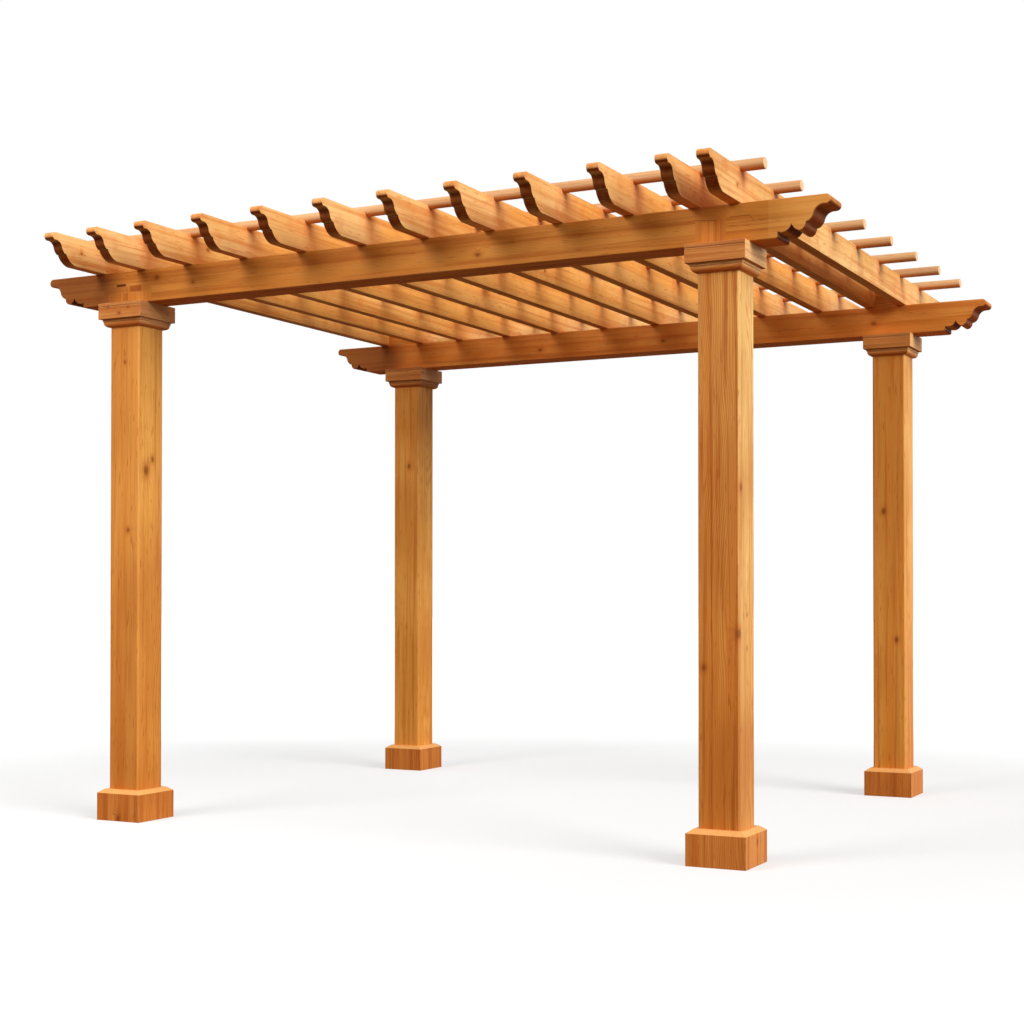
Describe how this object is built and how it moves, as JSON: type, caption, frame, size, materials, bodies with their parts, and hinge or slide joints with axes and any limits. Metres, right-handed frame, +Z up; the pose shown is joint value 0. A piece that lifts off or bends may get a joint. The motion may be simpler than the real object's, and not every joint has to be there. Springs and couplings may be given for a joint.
{
  "type": "wooden pergola",
  "caption": "Free-standing timber pergola: square posts with base trim and moulded capitals carry scrolled beams, crossed by scrolled rafters and round rods.",
  "frame": {"origin": "on the ground, under the middle of the roof: half-way along the beams and half-way along the rafters", "axes": "+X along the beams to the right, +Y along the rafters to the back, +Z up"},
  "size_m": [4.1158, 3.7898, 2.847],
  "materials": {
    "post_timber": "satin stain",
    "trim_timber": "satin stain",
    "beam_timber": "satin stain",
    "rafter_timber": "satin stain",
    "rod_timber": "satin stain"
  },
  "bodies": {
    "root": {"post_front_left": "post_timber", "base_trim_front_left": "trim_timber", "capital_band_front_left": "trim_timber", "capital_moulding_front_left": "trim_timber", "post_front_right": "post_timber", "base_trim_front_right": "trim_timber", "capital_band_front_right": "trim_timber", "capital_moulding_front_right": "trim_timber", "post_back_left": "post_timber", "base_trim_back_left": "trim_timber", "capital_band_back_left": "trim_timber", "capital_moulding_back_left": "trim_timber", "post_back_right": "post_timber", "base_trim_back_right": "trim_timber", "capital_band_back_right": "trim_timber", "capital_moulding_back_right": "trim_timber", "beam_front": "beam_timber", "beam_back": "beam_timber", "rafter_01": "rafter_timber", "rafter_02": "rafter_timber", "rafter_03": "rafter_timber", "rafter_04": "rafter_timber", "rafter_05": "rafter_timber", "rafter_06": "rafter_timber", "rafter_07": "rafter_timber", "rafter_08": "rafter_timber", "rafter_09": "rafter_timber", "rafter_10": "rafter_timber", "rafter_11": "rafter_timber", "rafter_12": "rafter_timber", "rod_1": "rod_timber", "rod_2": "rod_timber", "rod_3": "rod_timber", "rod_4": "rod_timber", "rod_5": "rod_timber", "rod_6": "rod_timber", "rod_7": "rod_timber", "rod_8": "rod_timber", "block_back_left": "rafter_timber", "block_back_right": "rafter_timber"}
  },
  "joints": []
}
